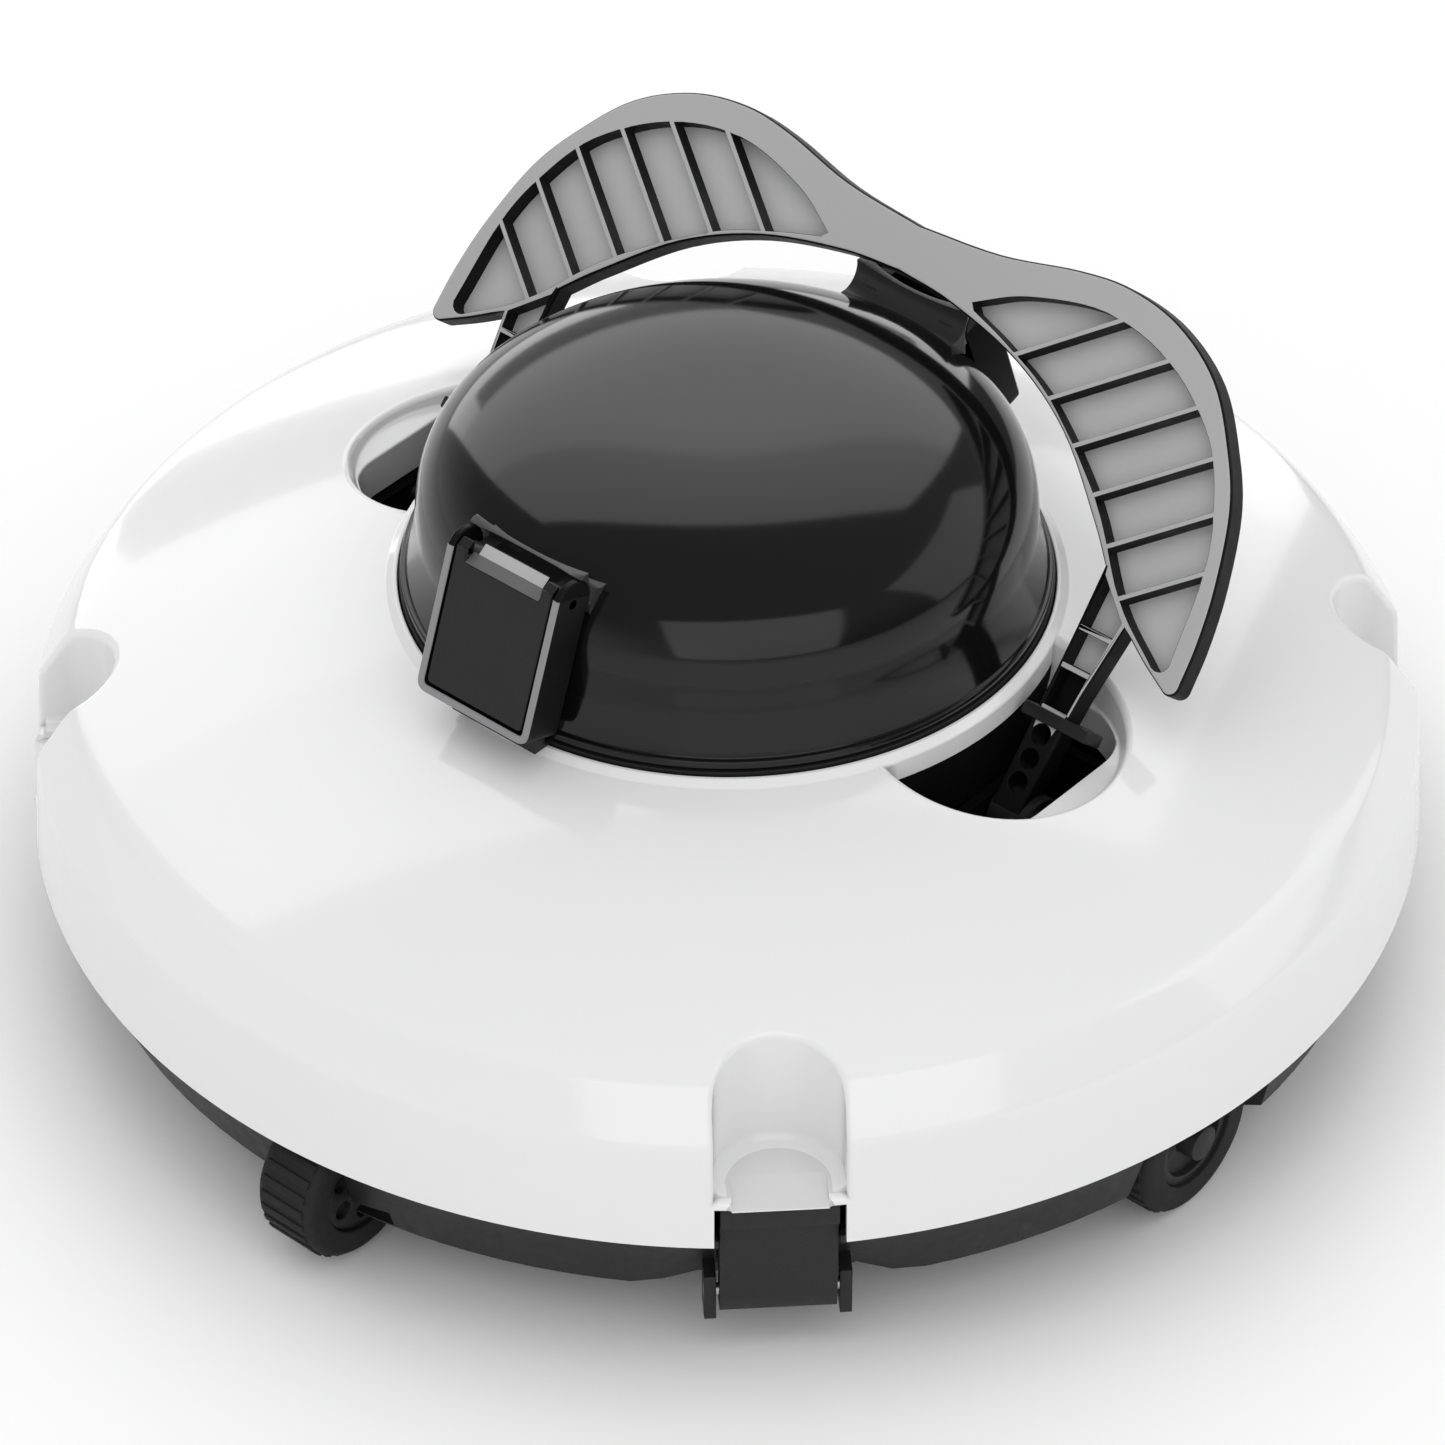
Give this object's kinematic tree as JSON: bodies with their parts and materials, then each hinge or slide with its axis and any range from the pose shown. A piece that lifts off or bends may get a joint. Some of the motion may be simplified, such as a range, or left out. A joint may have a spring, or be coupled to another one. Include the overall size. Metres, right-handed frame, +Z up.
{
  "type": "pool cleaner",
  "caption": "Round cordless pool-floor cleaner: white saucer hull, black domed lid with latches, leaning ribbed handle, wheels, pump and filter basket inside.",
  "frame": {"origin": "centre of the hull on the floor, under the wheels' lowest point", "axes": "+Z up; -Y to the front, where the latch is that the picture shows; +X to the right, along the wheel axles"},
  "size_m": [0.34, 0.3452, 0.1706],
  "materials": {
    "white_gloss": "gloss",
    "black_gloss": "gloss",
    "black_matte": "satin",
    "grey_plastic": "satin",
    "tyre_rubber": "matte",
    "seal_rubber": "matte",
    "steel": "satin",
    "screen": "matte",
    "impeller_plastic": "satin",
    "cell_wrap": "satin",
    "board_green": "satin",
    "button_grey": "satin",
    "lamp_lens": "gloss"
  },
  "bodies": {
    "hull": {"top_shell": "white_gloss", "base_tray": "black_matte", "filter_collar": "black_matte", "left_pivot_cup": "black_matte", "right_pivot_cup": "black_matte", "filter_chamber": "black_matte", "intake_riser": "black_matte", "filter_basket": "black_matte", "left_gear_motor": "black_matte", "right_gear_motor": "black_matte", "pump_volute": "black_matte", "outlet_nozzle": "black_matte", "battery_case": "black_matte", "control_box": "black_matte", "charge_socket": "black_matte", "button_bezel": "black_matte", "lid_seal": "seal_rubber", "front_keeper_bar": "steel", "rear_keeper_bar": "steel", "left_pivot_pin": "steel", "right_pivot_pin": "steel", "front_axle": "steel", "rear_axle": "steel", "pump_motor": "steel", "front_right_clasp_pin": "steel", "front_left_clasp_pin": "steel", "rear_right_clasp_pin": "steel", "rear_left_clasp_pin": "steel", "filter_screen": "screen", "battery_pack": "cell_wrap", "control_board": "board_green", "status_lamp": "lamp_lens"},
    "lid": {"lid": "black_gloss", "front_latch_bracket": "black_matte", "front_latch_pin": "steel", "rear_latch_bracket": "black_matte", "rear_latch_pin": "steel"},
    "front_latch": {"front_latch_lever": "grey_plastic", "front_latch_pad": "black_matte"},
    "rear_latch": {"rear_latch_lever": "grey_plastic", "rear_latch_pad": "black_matte"},
    "handle": {"handle": "grey_plastic"},
    "intake_flap": {"intake_flap": "seal_rubber"},
    "impeller": {"impeller": "impeller_plastic"},
    "power_button": {"power_button": "button_grey"},
    "front_right_clasp": {"front_right_clasp": "black_matte"},
    "front_left_clasp": {"front_left_clasp": "black_matte"},
    "rear_right_clasp": {"rear_right_clasp": "black_matte"},
    "rear_left_clasp": {"rear_left_clasp": "black_matte"},
    "left_wheel": {"left_hub": "black_matte", "left_tyre": "tyre_rubber"},
    "right_wheel": {"right_hub": "black_matte", "right_tyre": "tyre_rubber"},
    "front_wheel": {"front_hub": "black_matte", "front_tyre": "tyre_rubber"},
    "rear_wheel": {"rear_hub": "black_matte", "rear_tyre": "tyre_rubber"}
  },
  "joints": [
    {"name": "handle_swing", "type": "hinge", "parent": "hull", "child": "handle", "pos_m": [0, 0, 0.074], "axis": [-1, 0, 0], "range_deg": [-72, 0]},
    {"name": "lid_tilt", "type": "hinge", "parent": "hull", "child": "lid", "pos_m": [0, 0.082, 0.111], "axis": [-1, 0, 0], "range_deg": [0, 9]},
    {"name": "front_latch_swing", "type": "hinge", "parent": "lid", "child": "front_latch", "pos_m": [0, -0.0737, 0.1421], "axis": [-1, 0, 0], "range_deg": [0, 75]},
    {"name": "rear_latch_swing", "type": "hinge", "parent": "lid", "child": "rear_latch", "pos_m": [0, 0.0737, 0.1421], "axis": [1, 0, 0], "range_deg": [0, 75]},
    {"name": "intake_flap_swing", "type": "hinge", "parent": "hull", "child": "intake_flap", "pos_m": [0, -0.0235, 0.0625], "axis": [1, 0, 0], "range_deg": [0, 70]},
    {"name": "front_right_clasp_swing", "type": "hinge", "parent": "hull", "child": "front_right_clasp", "pos_m": [0.1142, -0.1142, 0.018], "axis": [0.7071, 0.7071, 0], "range_deg": [0, 35]},
    {"name": "front_left_clasp_swing", "type": "hinge", "parent": "hull", "child": "front_left_clasp", "pos_m": [-0.1142, -0.1142, 0.018], "axis": [0.7071, -0.7071, 0], "range_deg": [0, 35]},
    {"name": "rear_right_clasp_swing", "type": "hinge", "parent": "hull", "child": "rear_right_clasp", "pos_m": [0.1142, 0.1142, 0.018], "axis": [-0.7071, 0.7071, 0], "range_deg": [0, 35]},
    {"name": "rear_left_clasp_swing", "type": "hinge", "parent": "hull", "child": "rear_left_clasp", "pos_m": [-0.1142, 0.1142, 0.018], "axis": [-0.7071, -0.7071, 0], "range_deg": [0, 35]},
    {"name": "right_wheel_spin", "type": "hinge", "parent": "hull", "child": "right_wheel", "pos_m": [0.15, -0.014, 0.02], "axis": [1, 0, 0], "continuous": true},
    {"name": "left_wheel_spin", "type": "hinge", "parent": "hull", "child": "left_wheel", "pos_m": [-0.15, -0.014, 0.02], "axis": [1, 0, 0], "continuous": true},
    {"name": "front_wheel_spin", "type": "hinge", "parent": "hull", "child": "front_wheel", "pos_m": [0.0128, -0.1525, 0.02], "axis": [1, 0, 0], "continuous": true},
    {"name": "rear_wheel_spin", "type": "hinge", "parent": "hull", "child": "rear_wheel", "pos_m": [-0.0128, 0.1525, 0.02], "axis": [1, 0, 0], "continuous": true},
    {"name": "impeller_spin", "type": "hinge", "parent": "hull", "child": "impeller", "pos_m": [0.08, 0.08, 0.04], "axis": [0, 0, 1], "continuous": true},
    {"name": "power_button_press", "type": "slide", "parent": "hull", "child": "power_button", "axis": [0, -1, 0], "range_m": [0, 0.0012], "stiffness_N_per_m": 900, "springref_m": -0.0015}
  ]
}
